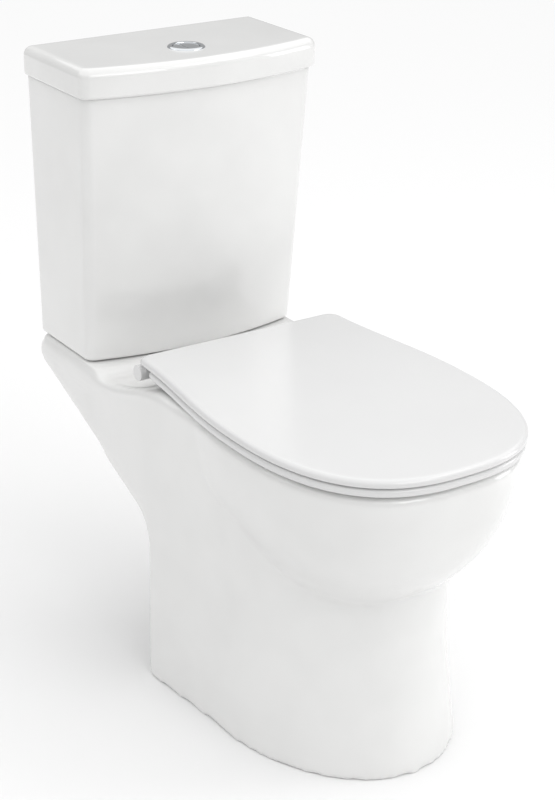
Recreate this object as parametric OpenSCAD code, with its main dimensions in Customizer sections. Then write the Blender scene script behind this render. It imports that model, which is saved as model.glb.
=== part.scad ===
// Close coupled toilet with a dual flush tank, a soft closing seat and a bidet nozzle.
// Millimetres. X runs across, Y from the front (-Y) to the wall (+Y), Z up from the floor.
// The origin is on the floor, under the middle of the whole toilet.

/* [Seat] */
// Wall to the rear edge of the seat lid
seat_from_wall = 245; // [230:1:300]
// Length of the seat lid
seat_length = 460; // [400:1:550]
// Width of the seat lid at its widest
seat_width = 342; // [330:1:430]
// Width of the seat lid at its rear edge
seat_rear_width = 300; // [250:1:320]
// Front of the lid to its widest line
seat_widest = 224; // [180:1:260]
// Squareness of the front curve, 2 is an ellipse
seat_curve = 2.6; // [2:0.05:3]
// Thickness of the seat lid
lid_t = 9.5; // [8:0.5:20]
// Thickness of the seat ring
ring_t = 9.5; // [8:0.5:20]
// Gap between ring and lid, filled by buffers
lid_gap = 1.5; // [1.5:0.1:5]
// Height of the buffers under the ring
ring_buffer_h = 3; // [3:0.5:10]
// Width of the ring on both sides of its opening
ring_band = 60; // [50:1:90]
// Width of the ring in front of its opening
ring_front_band = 82; // [50:1:110]
// Length of the ring's opening
ring_hole_length = 272; // [220:1:320]
// Radius of the hinge barrels
barrel_r = 10; // [8:0.1:11]
// Diameter of the hinge pins
hinge_pin_d = 8; // [5:0.5:10]
// Outer diameter of the rotary dampers
damper_d = 13; // [12:0.5:15]
// Distance between the two seat bolts
seat_bolt_pitch = 155; // [120:1:180]
// Diameter of the seat bolts
seat_bolt_d = 8; // [5:0.5:10]

/* [Pan] */
// Height of the rim and of the seat deck
rim_height = 409; // [320:1:470]
// How far the rim stays inside the seat's outline
rim_inset = 4; // [2:0.5:10]
// Width of the flat top of the rim
rim_band = 44; // [35:1:55]
// Height of the rim's inner lip
rim_lip = 49; // [30:1:60]
// Depth of the undercut behind the lip
rim_undercut = 11; // [5:0.5:15]
// Depth of the bowl's round underside below the rim
bowl_depth = 229; // [200:1:280]
// Thickness of the china walls
china_wall = 11; // [8:0.5:14]
// Width of the tank ledge
ledge_width = 328; // [300:1:380]
// Radius of the ledge's corners in plan
ledge_corner = 10; // [5:1:20]
// Height of the lip round the ledge
ledge_lip = 43; // [25:1:50]
// How far the wall under the ledge's lip is set in
lip_step = 3; // [1:0.5:6]
// Thickness of the ledge at the wall
ledge_t = 38; // [30:1:60]
// Slope of its lower edge in degrees
ledge_slope = 22.5; // [10:0.5:35]
// Fall of the deck from the bowl to the tank
deck_fall = 34; // [5:1:35]
// Length over which the deck falls
fall_length = 165; // [120:1:170]
// Rise of the tank platform above the lowered deck
platform_rise = 9; // [5:1:20]
// Depth of the tank platform from the wall
platform_depth = 168; // [150:1:190]
// Thickness of the deck under the platform and seat
deck_t = 14; // [11:1:20]
// Depth of the flat hinge pads below the rim
pad_drop = 14; // [6:1:16]
// Thickness of the hinge pads
hinge_pad_t = 20; // [15:1:25]
// Wall to the back of the foot
foot_from_wall = 292; // [260:1:330]
// Length of the foot
foot_length = 360; // [320:1:450]
// Width of the foot
foot_width = 306; // [280:1:330]
// How far the pedestal is drawn in above the foot
waist_inset = 14; // [5:1:30]
// How far the front of the pedestal leans back
pedestal_lean = 27; // [10:1:50]
// Flare of the foot at the floor
foot_flare = 4; // [0:0.5:10]
// Height of the lowest point of the sump
sump_floor = 28; // [22:1:50]
// Bore of the trapway
trap_bore = 80; // [70:1:86]
// Thickness of the trapway's wall
trap_wall = 8; // [6:0.5:12]
// Height of the middle of the waste outlet
outlet_height = 180; // [160:1:220]
// Outside diameter of the waste outlet
outlet_d = 102; // [96:1:110]
// Bore of the waste outlet
outlet_bore = 84; // [80:1:88]
// Wall to the end of the waste outlet
outlet_from_wall = 120; // [100:1:150]
// Diameter of the four floor fixing holes
floor_hole_d = 10; // [7:0.5:14]

/* [Tank] */
// Height of the tank's body
tank_height = 352; // [280:1:420]
// Width of the tank's body at the top
tank_top_width = 336; // [300:1:400]
// Width of the tank's body at the base
tank_base_width = 318; // [280:1:380]
// Depth of the tank's body at its sides, at the top
tank_top_depth = 158; // [145:1:175]
// Depth of the tank's body at its sides, at the base
tank_base_depth = 138; // [126:1:160]
// Bow of the tank's front
tank_bow = 20; // [0:1:35]
// Thickness of the tank's walls
tank_wall = 9; // [7:0.5:12]
// Height of the tank lid
tank_lid_height = 37; // [25:1:50]
// Overhang of the tank lid over the body
lid_overhang = 5; // [2:0.5:10]
// Thickness of the tank lid
tank_lid_wall = 9; // [7:0.5:12]
// Distance between the two coupling bolts
coupling_pitch = 150; // [120:1:180]
// Diameter of the coupling bolts
coupling_bolt_d = 8; // [6:0.5:10]

/* [Flush valve] */
// Wall to the axis of the flush valve
flush_from_wall = 100; // [95:1:102]
// Wall to the axis of the button
button_from_wall = 117; // [95:1:120]
// Outside diameter of the flush valve's threaded tail
flush_tail_d = 59; // [50:1:64]
// Bore of the flush valve's seat
flush_bore = 50; // [40:1:54]
// Outside diameter of the overflow tube
overflow_d = 32; // [26:1:36]
// Height of the overflow tube's top above the tank's floor
overflow_height = 218; // [180:1:240]
// Outside diameter of the button's bezel
bezel_d = 48; // [40:1:60]
// Diameter of the button
button_d = 34; // [28:1:36]
// Travel of the two buttons
button_travel = 8; // [4:0.5:10]

/* [Fill valve] */
// Distance of the fill valve from the middle
fill_x = 108; // [100:1:112]
// Outside diameter of the half inch supply thread
supply_d = 20.9; // [20:0.1:21]
// Diameter of the fill valve's column
column_d = 22; // [20:1:24]
// Diameter of the float
float_d = 58; // [50:1:60]
// Height of the float
float_h = 50; // [30:1:70]
// Rise of the float as the tank fills
float_travel = 12; // [8:1:15]

/* [Bidet] */
// Height of the nozzle below the rim
nozzle_drop = 101; // [90:1:110]
// Diameter of the nozzle's flange
nozzle_flange_d = 28; // [26:1:30]
// Length of the nozzle's threaded tail behind the bowl
nozzle_tail = 62; // [50:1:80]

/* [Clearances] */
// Sliding clearance on a radius
slide_gap = 0.3; // [0.2:0.05:0.5]
// Clearance on the radius of a bolt in china
china_gap = 3; // [1:0.5:4]
// Gap between faces that only rest on each other
rest_gap = 0.3; // [0.2:0.05:0.5]

/* [Hidden] */
$fn = 48;
eps = 0.01;

// Places
y_wall = (seat_from_wall + seat_length) / 2;
y_front = -y_wall;
seat_rear_y = y_wall - seat_from_wall;
foot_back_y = y_wall - foot_from_wall;
foot_front_y = foot_back_y - foot_length;
deck_low_z = rim_height - deck_fall;
platform_z = deck_low_z + platform_rise;
pad_t = 1.5;
tank_z = platform_z + pad_t;
tank_floor_t = 10;
tank_floor_z = tank_z + tank_floor_t;
tank_top_z = tank_z + tank_height;
tank_lid_z = tank_top_z + rest_gap;
tank_lid_top = tank_lid_z + tank_lid_height;
flush_y = y_wall - flush_from_wall;
button_y = y_wall - button_from_wall;
washer_t = 2.5;

// Hinge
hinge_overhang = 6;
axis_y = seat_rear_y - hinge_overhang;
ring_z = rim_height + ring_buffer_h;
ring_top = ring_z + ring_t;
seat_lid_z = ring_top + lid_gap;
seat_lid_top = seat_lid_z + lid_t;
axis_z = seat_lid_z - barrel_r - 1;
pad_z = rim_height - pad_drop;
pad_under_z = pad_z - hinge_pad_t;
pad_r = 22;
hinge_gap = 1;
post_w = 22;
post_x = seat_bolt_pitch / 2;
ring_lug_x = post_x + post_w / 2 + hinge_gap;
ring_lug_w = 26;
lid_lug_x = ring_lug_x + ring_lug_w + hinge_gap;
lid_lug_w = 28;
cap_x = lid_lug_x + lid_lug_w + hinge_gap;
cap_w = 7;

// Rings of the lofts
side_steps = 8;
front_steps = 14;
corner_steps = 4;
bowl_steps = 28;
edge_steps = 4;

function smooth(u) = let (v = min(1, max(0, u))) v * v * (3 - 2 * v);

// Half outline, from the back on the right to the front, made into a closed ring at height z.
function mirrored(half, z) = concat(
    [for (p = half) [p[0], p[1], z]],
    [for (i = [len(half) - 1:-1:0]) [-half[i][0], half[i][1], z]]
);

// Quarter round edge as pairs of height and inset, from the side to the face.
function round_edge(z, r, up = 1) =
    [for (k = [0:edge_steps]) let (t = 90 * k / edge_steps) [z + up * r * sin(t), r * (1 - cos(t))]];

// Solid through a list of rings that have the same even number of points, lowest first.
// Each end is closed by strips that run across it.
module loft(rings) {
    n = len(rings[0]);
    top = (len(rings) - 1) * n;
    polyhedron(
        points = [for (ring = rings) each ring],
        faces = concat(
            [for (i = [0:n / 2 - 2]) each [[n - 2 - i, i + 1, i], [n - 1 - i, n - 2 - i, i]]],
            [for (j = [0:len(rings) - 2], i = [0:n - 1])
                [j * n + i, j * n + (i + 1) % n, (j + 1) * n + (i + 1) % n]],
            [for (j = [0:len(rings) - 2], i = [0:n - 1])
                [j * n + i, (j + 1) * n + (i + 1) % n, (j + 1) * n + i]],
            [for (i = [0:n / 2 - 2]) each [
                [top + i, top + i + 1, top + n - 2 - i],
                [top + i, top + n - 2 - i, top + n - 1 - i]]]
        )
    );
}

// Joins blended shapes into one skin.
module one_skin() {
    resize([0, 0, 0]) children();
}

module both_sides() {
    for (side = [-1, 1]) scale([side, 1, 1]) children();
}

module along_x(r, x0, x1) {
    translate([x0, 0, 0]) rotate([0, 90, 0]) cylinder(r = r, h = x1 - x0);
}

module along_y(r, y0, y1, x = 0, z = 0) {
    translate([x, y0, z]) rotate([-90, 0, 0]) cylinder(r = r, h = y1 - y0);
}

module tube(r_out, r_in, z0, z1) {
    translate([0, 0, z0]) difference() {
        cylinder(r = r_out, h = z1 - z0);
        translate([0, 0, -eps]) cylinder(r = r_in, h = z1 - z0 + 2 * eps);
    }
}

// ---- Pan ----

rim_half = seat_width / 2 - rim_inset;
rim_front_y = y_front + rim_inset;
rim_y = y_front + seat_widest;
rim_front = rim_y - rim_front_y;
rim_rear = 200;
ledge_half = ledge_width / 2;
mid_y = foot_back_y - 151;
foot_b = mid_y - foot_front_y;
under_back_z = platform_z - ledge_t;

platform_front_y = y_wall - platform_depth;
fall_y = platform_front_y - fall_length;
fall_zone = 70;

// Height z of the body's outline, lowered at y where the deck falls towards the tank.
function lowered(z, y) = z - deck_fall
    * smooth((z - rim_height + fall_zone) / fall_zone)
    * smooth((y - fall_y) / (platform_front_y - fall_y));
function lowered_ring(ring) = [for (p = ring) [p[0], p[1], lowered(p[2], p[1])]];

// Outline of the body at height z. The ledge's straight sides narrow to half width a at mid_y,
// and an ellipse of length b closes the front. The whole outline moves in by d.
side_ys = concat(
    [for (k = [0:3]) platform_front_y + (foot_back_y - platform_front_y) * k / 4],
    [for (k = [0:side_steps]) foot_back_y + (mid_y - foot_back_y) * k / side_steps]
);
function body_ring(z, a, b, half, d = 0) = lowered_ring(mirrored(concat(
    [for (k = [0:corner_steps]) let (t = 90 * k / corner_steps)
        [half - d - ledge_corner * (1 - sin(t)), y_wall - d - ledge_corner * (1 - cos(t))]],
    [for (y = side_ys) [a - d + (half - a) * smooth((y - mid_y) / (foot_back_y - mid_y)), y]],
    [for (k = [1:front_steps]) let (t = 90 * k / (front_steps + 0.5))
        [(a - d) * cos(t), mid_y - (b - d) * sin(t)]]
), z));

// Height, half width, front length and ledge half width, from the floor up.
body_levels = let (
        waist = foot_width / 2 - waist_inset,
        crease_z = rim_height - 183,
        lip_z = rim_height - ledge_lip
    ) [
        [0, foot_width / 2, foot_b, ledge_half - lip_step],
        [22, foot_width / 2 - foot_flare, foot_b - foot_flare, ledge_half - lip_step],
        [80, waist + 4, foot_b - pedestal_lean / 2, ledge_half - lip_step],
        [150, waist, foot_b - pedestal_lean + 4, ledge_half - lip_step],
        [crease_z, waist + 3, foot_b - pedestal_lean, ledge_half - lip_step],
        [crease_z + 60, ledge_half - 14, foot_b - pedestal_lean, ledge_half - lip_step],
        [lip_z - 8, ledge_half - lip_step - 2, foot_b - pedestal_lean, ledge_half - lip_step],
        [lip_z, ledge_half, foot_b - pedestal_lean, ledge_half]
    ];

rim_edge = 9;
module body_outer(d = 0) {
    top = body_levels[len(body_levels) - 1];
    loft(concat(
        [for (v = body_levels) body_ring(v[0], v[1], v[2], v[3], d)],
        [for (e = round_edge(rim_height - rim_edge, rim_edge))
            body_ring(e[0], top[1], top[2], top[3], d + e[1])]
    ));
}

module body_hollow() {
    ceiling = rim_height - deck_t;
    last = body_levels[len(body_levels) - 2];
    loft(concat(
        [for (v = body_levels) if (v[0] < last[0])
            body_ring(v[0] > 0 ? v[0] : -1, v[1], v[2], v[3], china_wall)],
        [body_ring(last[0], last[1], last[2], last[3], china_wall),
            body_ring(ceiling, last[1], last[2], last[3], china_wall)]
    ));
}

// Space under the ledge and behind the foot, cut from side to side.
module under_ledge() {
    r = 50;
    a = 90 + ledge_slope;
    corner_y = foot_back_y + r * (1 + cos(a));
    corner_z = under_back_z - tan(ledge_slope) * (y_wall - corner_y);
    mid_z = corner_z - r * sin(a);
    far = y_wall + 20;
    profile = concat(
        [[far, -1], [foot_back_y, -1], [foot_back_y, mid_z]],
        [for (k = [1:6]) let (t = 180 - (180 - a) * k / 6)
            [foot_back_y + r + r * cos(t), mid_z + r * sin(t)]],
        [[y_wall, under_back_z], [far, under_back_z]]
    );
    rotate([90, 0, 90]) linear_extrude(ledge_width + 20, center = true) polygon(profile);
}

module platform() {
    half = ledge_half - 4;
    r = 4;
    loft([for (e = concat([[deck_low_z - 5, 0]], round_edge(platform_z - r, r)))
        mirrored(concat(
            [for (k = [0:corner_steps]) let (t = 90 * k / corner_steps)
                [half - e[1] - ledge_corner * (1 - sin(t)),
                    y_wall - r - e[1] - ledge_corner * (1 - cos(t))]],
            [for (k = [0:corner_steps]) let (t = 90 * k / corner_steps)
                [half - e[1] - 20 * (1 - cos(t)), platform_front_y + e[1] + 20 * (1 - sin(t))]]
        ), e[0])]);
}

// Superellipse ring with its own lengths to the front and to the rear.
function bowl_ring(z, half, y, front, rear, n = seat_curve) = mirrored(
    [for (k = [0:bowl_steps - 1]) let (
            t = 90 - 180 * (k + 0.5) / bowl_steps,
            c = pow(cos(t), 2 / n),
            s = sign(t) * pow(abs(sin(t)), 2 / n)
        ) [half * c, y + s * (t > 0 ? rear : front)]], z);

module bowl_outer() {
    z0 = rim_height - rim_edge;
    depth = bowl_depth - rim_edge;
    loft(concat(
        [for (k = [12:-1:1]) let (t = 87 * k / 12, s = cos(t))
            bowl_ring(z0 - depth * sin(t), rim_half * s, rim_y, rim_front * s, rim_rear * s)],
        [for (e = round_edge(z0, rim_edge))
            bowl_ring(e[0], rim_half - e[1], rim_y, rim_front - e[1], rim_rear - e[1])]
    ));
}

// Share of the height from sump to rim, half width, length to each side and shift to the rear.
mouth_half = rim_half - rim_band;
mouth_length = rim_front - rim_band;
under_rim_z = rim_height - rim_lip - 3;
bowl_levels = [
    [0, 0.26, 0.23, 55], [0.1, 0.36, 0.31, 55], [0.26, 0.44, 0.39, 50], [0.403, 0.58, 0.54, 38],
    [0.546, 0.79, 0.74, 22], [0.705, 0.94, 0.92, 8], [0.863, 1.04, 1.03, 2]
];

// Inside of the bowl, or the outside of its wall when d is the wall's thickness.
module bowl_inside(d = 0) {
    span = under_rim_z - sump_floor;
    loft(concat(
        [for (v = bowl_levels) bowl_ring(sump_floor + span * v[0] - (v[0] == 0 ? d : 0),
            mouth_half * v[1] + d, rim_y + v[3], mouth_length * v[2] + d, mouth_length * v[2] + d)],
        [bowl_ring(under_rim_z, mouth_half + rim_undercut + d, rim_y,
            mouth_length + rim_undercut + d, mouth_length + rim_undercut + d)],
        d > 0 ? [] : [
            bowl_ring(under_rim_z + 3, mouth_half, rim_y, mouth_length, mouth_length),
            bowl_ring(rim_height - 8, mouth_half, rim_y, mouth_length, mouth_length),
            bowl_ring(rim_height - 2, mouth_half + 2, rim_y, mouth_length + 2, mouth_length + 2),
            bowl_ring(rim_height + 1, mouth_half + 8, rim_y, mouth_length + 8, mouth_length + 8)
        ]
    ));
}

// Trapway: y, z along its middle, from the sump over the weir to the outlet.
trap_z = sump_floor + trap_bore / 2;
outlet_y = y_wall - outlet_from_wall;
spigot_y = outlet_y - 70;
trap_route = [
    [rim_y + 52, trap_z], [rim_y + 90, trap_z - 2], [rim_y + 122, trap_z + 6],
    [rim_y + 150, trap_z + 30], [rim_y + 172, trap_z + 66], [rim_y + 196, outlet_height - 5],
    [rim_y + 226, outlet_height + 12], [spigot_y - 30, outlet_height + 8],
    [spigot_y, outlet_height], [spigot_y + 12, outlet_height]
];

module trap(r) {
    n = 24;
    last = len(trap_route) - 1;
    loft([for (i = [0:last]) let (
            p = trap_route[i],
            q = trap_route[min(last, i + 1)] - trap_route[max(0, i - 1)],
            u = q / norm(q)
        ) [for (k = [0:n - 1]) let (t = 360 * k / n)
            [r * cos(t), p[0] - r * sin(t) * u[1], p[1] + r * sin(t) * u[0]]]]);
}

// Flush duct from the tank's outlet to the back of the rim.
well_d = 100;
well_floor_z = platform_z - 16;
duct_half = 28;
duct_h = 22;
duct_z = under_rim_z + 1 - duct_h;
module flush_duct(d = 0) {
    y0 = rim_y + mouth_length - 2 + d;
    y1 = flush_y + duct_half + d;
    translate([-duct_half - d, y0, duct_z - d])
        cube([2 * (duct_half + d), y1 - y0, duct_h + 2 * d]);
}

// Water threads, and the wider shanks that hold them in the china.
supply_r = supply_d / 2;
shank_r = supply_r + 0.5;
shank_play = 0.55;

nozzle_z = rim_height - nozzle_drop;
nozzle_seat_y = rim_y + mouth_length + rim_undercut + 1;
nozzle_back_y = nozzle_seat_y + china_wall + 8;
fixing_x = ledge_half - china_wall - 26;
fixing_y = [foot_back_y - 34, foot_back_y - 120];
fill_y = flush_y + 8;

module fixing_lugs() {
    intersection() {
        body_outer(china_wall / 2);
        both_sides() for (y = fixing_y) translate([fixing_x - 15, y - 16, 0])
            cube([ledge_half - fixing_x + 15, 32, 20]);
    }
}

module at_seat_bolts() {
    both_sides() translate([post_x, axis_y, 0]) children();
}

module pan_shape() {
    difference() {
        union() {
            difference() {
                body_outer();
                under_ledge();
                body_hollow();
            }
            difference() {
                union() {
                    along_y(nozzle_flange_d / 2 + 4, nozzle_seat_y - 6, nozzle_back_y, z = nozzle_z);
                    flush_duct(china_wall);
                }
                translate([-ledge_width, y_wall - 2, 0]) cube([2 * ledge_width, 50, rim_height]);
            }
            fixing_lugs();
            at_seat_bolts() translate([0, 0, pad_under_z]) cylinder(r = pad_r, h = hinge_pad_t);
            platform();
            bowl_outer();
            bowl_inside(china_wall);
            trap(trap_bore / 2 + trap_wall);
        }
        bowl_inside();
        trap(trap_bore / 2);
        flush_duct();
        at_seat_bolts() translate([0, 0, pad_z]) cylinder(r = pad_r + 1, h = 30);
    }
}

module pan() {
    color("white") difference() {
        union() {
            one_skin() pan_shape();
            along_y(outlet_d / 2, spigot_y, outlet_y, z = outlet_height);
        }
        along_y(outlet_bore / 2, spigot_y - 2, outlet_y + 1, z = outlet_height);
        translate([0, flush_y, well_floor_z]) cylinder(d = well_d, h = 40);
        translate([0, flush_y, duct_z + 4]) cylinder(r = duct_half - 1, h = 60);
        along_y(shank_r + shank_play, nozzle_seat_y - 30, nozzle_back_y + 1, z = nozzle_z);
        along_y(nozzle_flange_d / 2 + 1.5, nozzle_seat_y - 30, nozzle_seat_y, z = nozzle_z);
        at_seat_bolts() translate([0, 0, pad_under_z - 1])
            cylinder(r = seat_bolt_d / 2 + china_gap, h = hinge_pad_t + 2);
        both_sides() {
            translate([coupling_pitch / 2, flush_y, platform_z - 24])
                cylinder(r = coupling_bolt_d / 2 + china_gap, h = 60);
            for (y = fixing_y) translate([fixing_x, y, -1]) cylinder(d = floor_hole_d, h = 30);
        }
        translate([fill_x, fill_y, platform_z - 24]) cylinder(d = supply_d + 24, h = 60);
    }
}

// ---- Tank ----

// Tank outline: half width, back, front corner, bow of the front and the two corner radii.
function tank_ring(z, half, back, corner, bow, rf, rb) =
    let (
        lean = atan(2 * bow / (half - rf)),
        end = [half - rf + rf * sin(lean), corner + rf * (1 - cos(lean))]
    ) mirrored(concat(
        [for (k = [0:corner_steps]) let (t = 90 * k / corner_steps)
            [half - rb * (1 - sin(t)), back - rb * (1 - cos(t))]],
        [for (k = [0:corner_steps]) let (t = (90 - lean) * k / corner_steps)
            [half - rf * (1 - cos(t)), corner + rf * (1 - sin(t))]],
        [for (k = [1:front_steps]) let (x = end[0] * (1 - k / (front_steps + 0.5)))
            [x, end[1] - bow * (1 - pow(x / end[0], 2))]]
    ), z);

tank_front_r = 16;
tank_back_r = 10;
function tank_at(z, d = 0, inset = 0) =
    let (u = (z - tank_z) / tank_height) tank_ring(
        z,
        (tank_base_width + (tank_top_width - tank_base_width) * u) / 2 - d - inset,
        y_wall - d - inset,
        y_wall - tank_base_depth - (tank_top_depth - tank_base_depth) * u + d + inset,
        tank_bow,
        max(4, tank_front_r - d - inset),
        max(3, tank_back_r - d - inset)
    );

base_edge = 5;
module tank_solid(z0, z1, d) {
    r = max(4, base_edge - d);
    loft(concat(
        [for (k = [edge_steps:-1:1]) let (e = round_edge(z0 + r, r, -1)[k]) tank_at(e[0], d, e[1] * 0.95)],
        [tank_at(z0 + r, d), tank_at(z1, d)]
    ));
}

module cistern_tank() {
    color("white") difference() {
        one_skin() difference() {
            tank_solid(tank_z, tank_top_z, 0);
            tank_solid(tank_floor_z, tank_top_z + 1, tank_wall);
        }
        translate([0, flush_y, tank_z - 1]) cylinder(d = flush_tail_d + 2, h = 20);
        both_sides() translate([coupling_pitch / 2, flush_y, tank_z - 1])
            cylinder(r = coupling_bolt_d / 2 + 1.5, h = 20);
        translate([fill_x, fill_y, tank_z - 1]) cylinder(r = shank_r + shank_play, h = 20);
    }
}

module tank_pads() {
    color("dimgray") for (x = [-1, 1], y = [flush_y - 22, y_wall - 34])
        translate([x * (tank_base_width / 2 - 28) - 9, y - 9, platform_z]) cube([18, 18, pad_t]);
}

lid_edge = 12;
function lid_ring(z, inset) = tank_ring(
    z,
    tank_top_width / 2 + lid_overhang - inset,
    y_wall - inset,
    y_wall - tank_top_depth - lid_overhang + inset,
    tank_bow + 2,
    max(4, tank_front_r - inset),
    max(3, tank_back_r - inset)
);

module cistern_lid() {
    rib = tank_wall + 2;
    lower_r = 4;
    color("white") difference() {
        one_skin() difference() {
            union() {
                loft(concat(
                    [for (k = [edge_steps:-1:0]) let (e = round_edge(tank_lid_z + lower_r, lower_r, -1)[k])
                        lid_ring(e[0], e[1])],
                    [for (e = round_edge(tank_lid_top - lid_edge, lid_edge)) lid_ring(e[0], e[1])]
                ));
                loft([for (z = [tank_lid_z - 9, tank_lid_z + 6])
                    tank_at(z, lid_overhang + rib + 1, z < tank_lid_z ? 1 : 0)]);
            }
            loft([for (z = [tank_lid_z - 10, tank_lid_top - tank_lid_wall])
                lid_ring(z, 2 * lid_overhang + rib + 8)]);
        }
        translate([0, button_y, tank_lid_top - 20]) cylinder(r = button_d / 2 + 3, h = 40);
    }
}

// ---- Flush button ----

bezel_t = 2.5;
bezel_wall = 2;
bezel_in = button_d / 2 + slide_gap;
button_top = tank_lid_top + bezel_t - 1;
button_t = 12;
bezel_bottom = tank_lid_top - button_t - 2 * button_travel;
full_rod_x = 6;
half_rod_x = -10;
split_x = -4;
rod_r = 2.5;

module at_flush() {
    translate([0, flush_y, 0]) children();
}

module at_button() {
    translate([0, button_y, 0]) children();
}

module button_bezel() {
    color("silver") at_button() difference() {
        union() {
            tube(bezel_in + bezel_wall, bezel_in, bezel_bottom, tank_lid_top + 1);
            tube(bezel_d / 2, bezel_in, tank_lid_top, tank_lid_top + bezel_t);
            translate([0, 0, bezel_bottom]) cylinder(r = bezel_in + bezel_wall, h = 2);
        }
        for (x = [full_rod_x, half_rod_x]) translate([x, 0, bezel_bottom - 1])
            cylinder(r = rod_r + slide_gap, h = 5);
    }
}

module button_nut() {
    color("gainsboro") at_button() difference() {
        translate([0, 0, tank_lid_top - tank_lid_wall - 8]) cylinder(r = 27, h = 8, $fn = 8);
        translate([0, 0, tank_lid_top - tank_lid_wall - 9])
            cylinder(r = bezel_in + bezel_wall + 0.2, h = 10);
    }
}

// Part of the round button on one side of the split line.
module button_part(side) {
    w = button_d;
    color("silver") at_button() intersection() {
        difference() {
            translate([0, 0, button_top - button_t]) cylinder(d = button_d, h = button_t);
            translate([0, 0, button_top + 120 - 1]) sphere(r = 120, $fn = 96);
        }
        translate([side > 0 ? split_x + 0.4 : split_x - 0.4 - w, -w, button_top - 20])
            cube([w, 2 * w, 40]);
    }
}

module full_flush_button() { button_part(1); }
module half_flush_button() { button_part(-1); }

head_top = tank_floor_z + overflow_height + 50;
head_z = head_top - 36;
module push_rod(x) {
    color("gainsboro") at_button() translate([x, 0, head_top - 14])
        cylinder(r = rod_r, h = button_top - button_t - head_top + 14);
}

module full_flush_rod() { push_rod(full_rod_x); }
module half_flush_rod() { push_rod(half_rod_x); }

module button_springs() {
    color("silver") at_button() for (x = [full_rod_x, half_rod_x]) translate([x, 0, 0])
        tube(rod_r + 2, rod_r + 0.7, bezel_bottom + 2, button_top - button_t);
}

// ---- Flush valve ----

tail_r = flush_tail_d / 2;
base_z = tank_floor_z + washer_t;
seat_top = tank_floor_z + 21;
tower_r = 39;
neck_z = seat_top + 90;
neck_r = 26;

module flush_valve_base() {
    color("whitesmoke") at_flush() {
        tube(tail_r, flush_bore / 2, well_floor_z + 4, seat_top);
        tube(42, tail_r - 1, base_z, base_z + 4);
    }
}

module flush_valve_washer() {
    color("dimgray") at_flush() tube(41, tail_r, tank_floor_z, base_z);
}

module flush_valve_backnut() {
    color("whitesmoke") at_flush() difference() {
        translate([0, 0, tank_z - 10]) cylinder(r = 42, h = 10, $fn = 8);
        translate([0, 0, tank_z - 11]) cylinder(r = tail_r, h = 12);
    }
}

module tank_outlet_gasket() {
    color("dimgray") at_flush() tube(well_d / 2 - 4, tail_r + 1, well_floor_z, tank_z - 10);
}

module flush_valve_tower() {
    wall = 2.5;
    color("lightskyblue") at_flush() difference() {
        union() {
            tube(tower_r, tower_r - wall, base_z + 4, neck_z);
            tube(tower_r, neck_r - wall, neck_z, neck_z + 3);
            tube(neck_r, neck_r - wall, neck_z + 3, head_z);
        }
        for (turn = [45:90:315]) rotate([0, 0, turn])
            translate([0, -13, base_z + 12]) cube([tower_r + 5, 26, neck_z - base_z - 24]);
        for (turn = [0, 180]) rotate([0, 0, turn])
            translate([0, -10, neck_z + 50]) cube([neck_r + 5, 20, head_z - neck_z - 65]);
    }
}

module flush_valve_head() {
    color("whitesmoke") at_flush() difference() {
        tube(32, 0.5, head_z, head_top);
        translate([0, 0, head_z + 3]) cylinder(r = 28.5, h = head_top - head_z - 6);
        translate([0, 0, head_z - 1]) cylinder(r = 4, h = 5);
        for (x = [full_rod_x, half_rod_x]) translate([x, button_y - flush_y, head_top - 5])
            cylinder(r = rod_r + slide_gap, h = 8);
    }
}

overflow_r = overflow_d / 2;
module overflow_tube() {
    color("whitesmoke") at_flush() {
        tube(overflow_r, overflow_r - 2, seat_top + rest_gap, tank_floor_z + overflow_height);
        tube(30, overflow_r - 1, seat_top + rest_gap + 4, seat_top + rest_gap + 7);
    }
}

module flush_seal() {
    color("firebrick") at_flush() tube(30, overflow_r, seat_top + rest_gap, seat_top + rest_gap + 4);
}

module half_flush_float() {
    color("whitesmoke") at_flush() tube(32, overflow_r, seat_top + 22, seat_top + 60);
}

// ---- Tank to pan coupling ----

module at_couplings() {
    both_sides() translate([coupling_pitch / 2, flush_y, 0]) children();
}

coupling_r = coupling_bolt_d / 2;
deck_under_z = lowered(rim_height - deck_t, y_wall);
module coupling_bolts() {
    head_under_z = tank_floor_z + washer_t;
    color("darkgray") at_couplings() {
        translate([0, 0, deck_under_z - 22])
            cylinder(r = coupling_r, h = head_under_z - deck_under_z + 23);
        translate([0, 0, head_under_z]) cylinder(r = coupling_r + 3.5, h = 5);
    }
}

module coupling_washers() {
    color("dimgray") at_couplings() tube(13, coupling_r, tank_floor_z, tank_floor_z + washer_t);
}

module coupling_plates() {
    color("darkgray") at_couplings() tube(14, coupling_r, deck_under_z - 2, deck_under_z);
}

// Wing nut below height z, for a bolt of radius r.
module wing_nut(r, z) {
    difference() {
        union() {
            translate([0, 0, z - 9]) cylinder(r = r + 3.5, h = 9);
            translate([-r - 11, -1.5, z - 15]) cube([2 * r + 22, 3, 13]);
        }
        translate([0, 0, z - 20]) cylinder(r = r, h = 25);
    }
}

module coupling_wing_nuts() {
    color("darkgray") at_couplings() wing_nut(coupling_r, deck_under_z - 2);
}

// ---- Fill valve ----

supply_bottom = tank_z - 46.5;
supply_nut_h = 11;
column_r = column_d / 2;
column_top = tank_floor_z + 252;
link_x = -24;
link_r = 2;
arm_x = 8;
arm_z = column_top + 14;
float_top = column_top - 24 - float_travel;

module at_fill() {
    translate([fill_x, fill_y, 0]) children();
}

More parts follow.
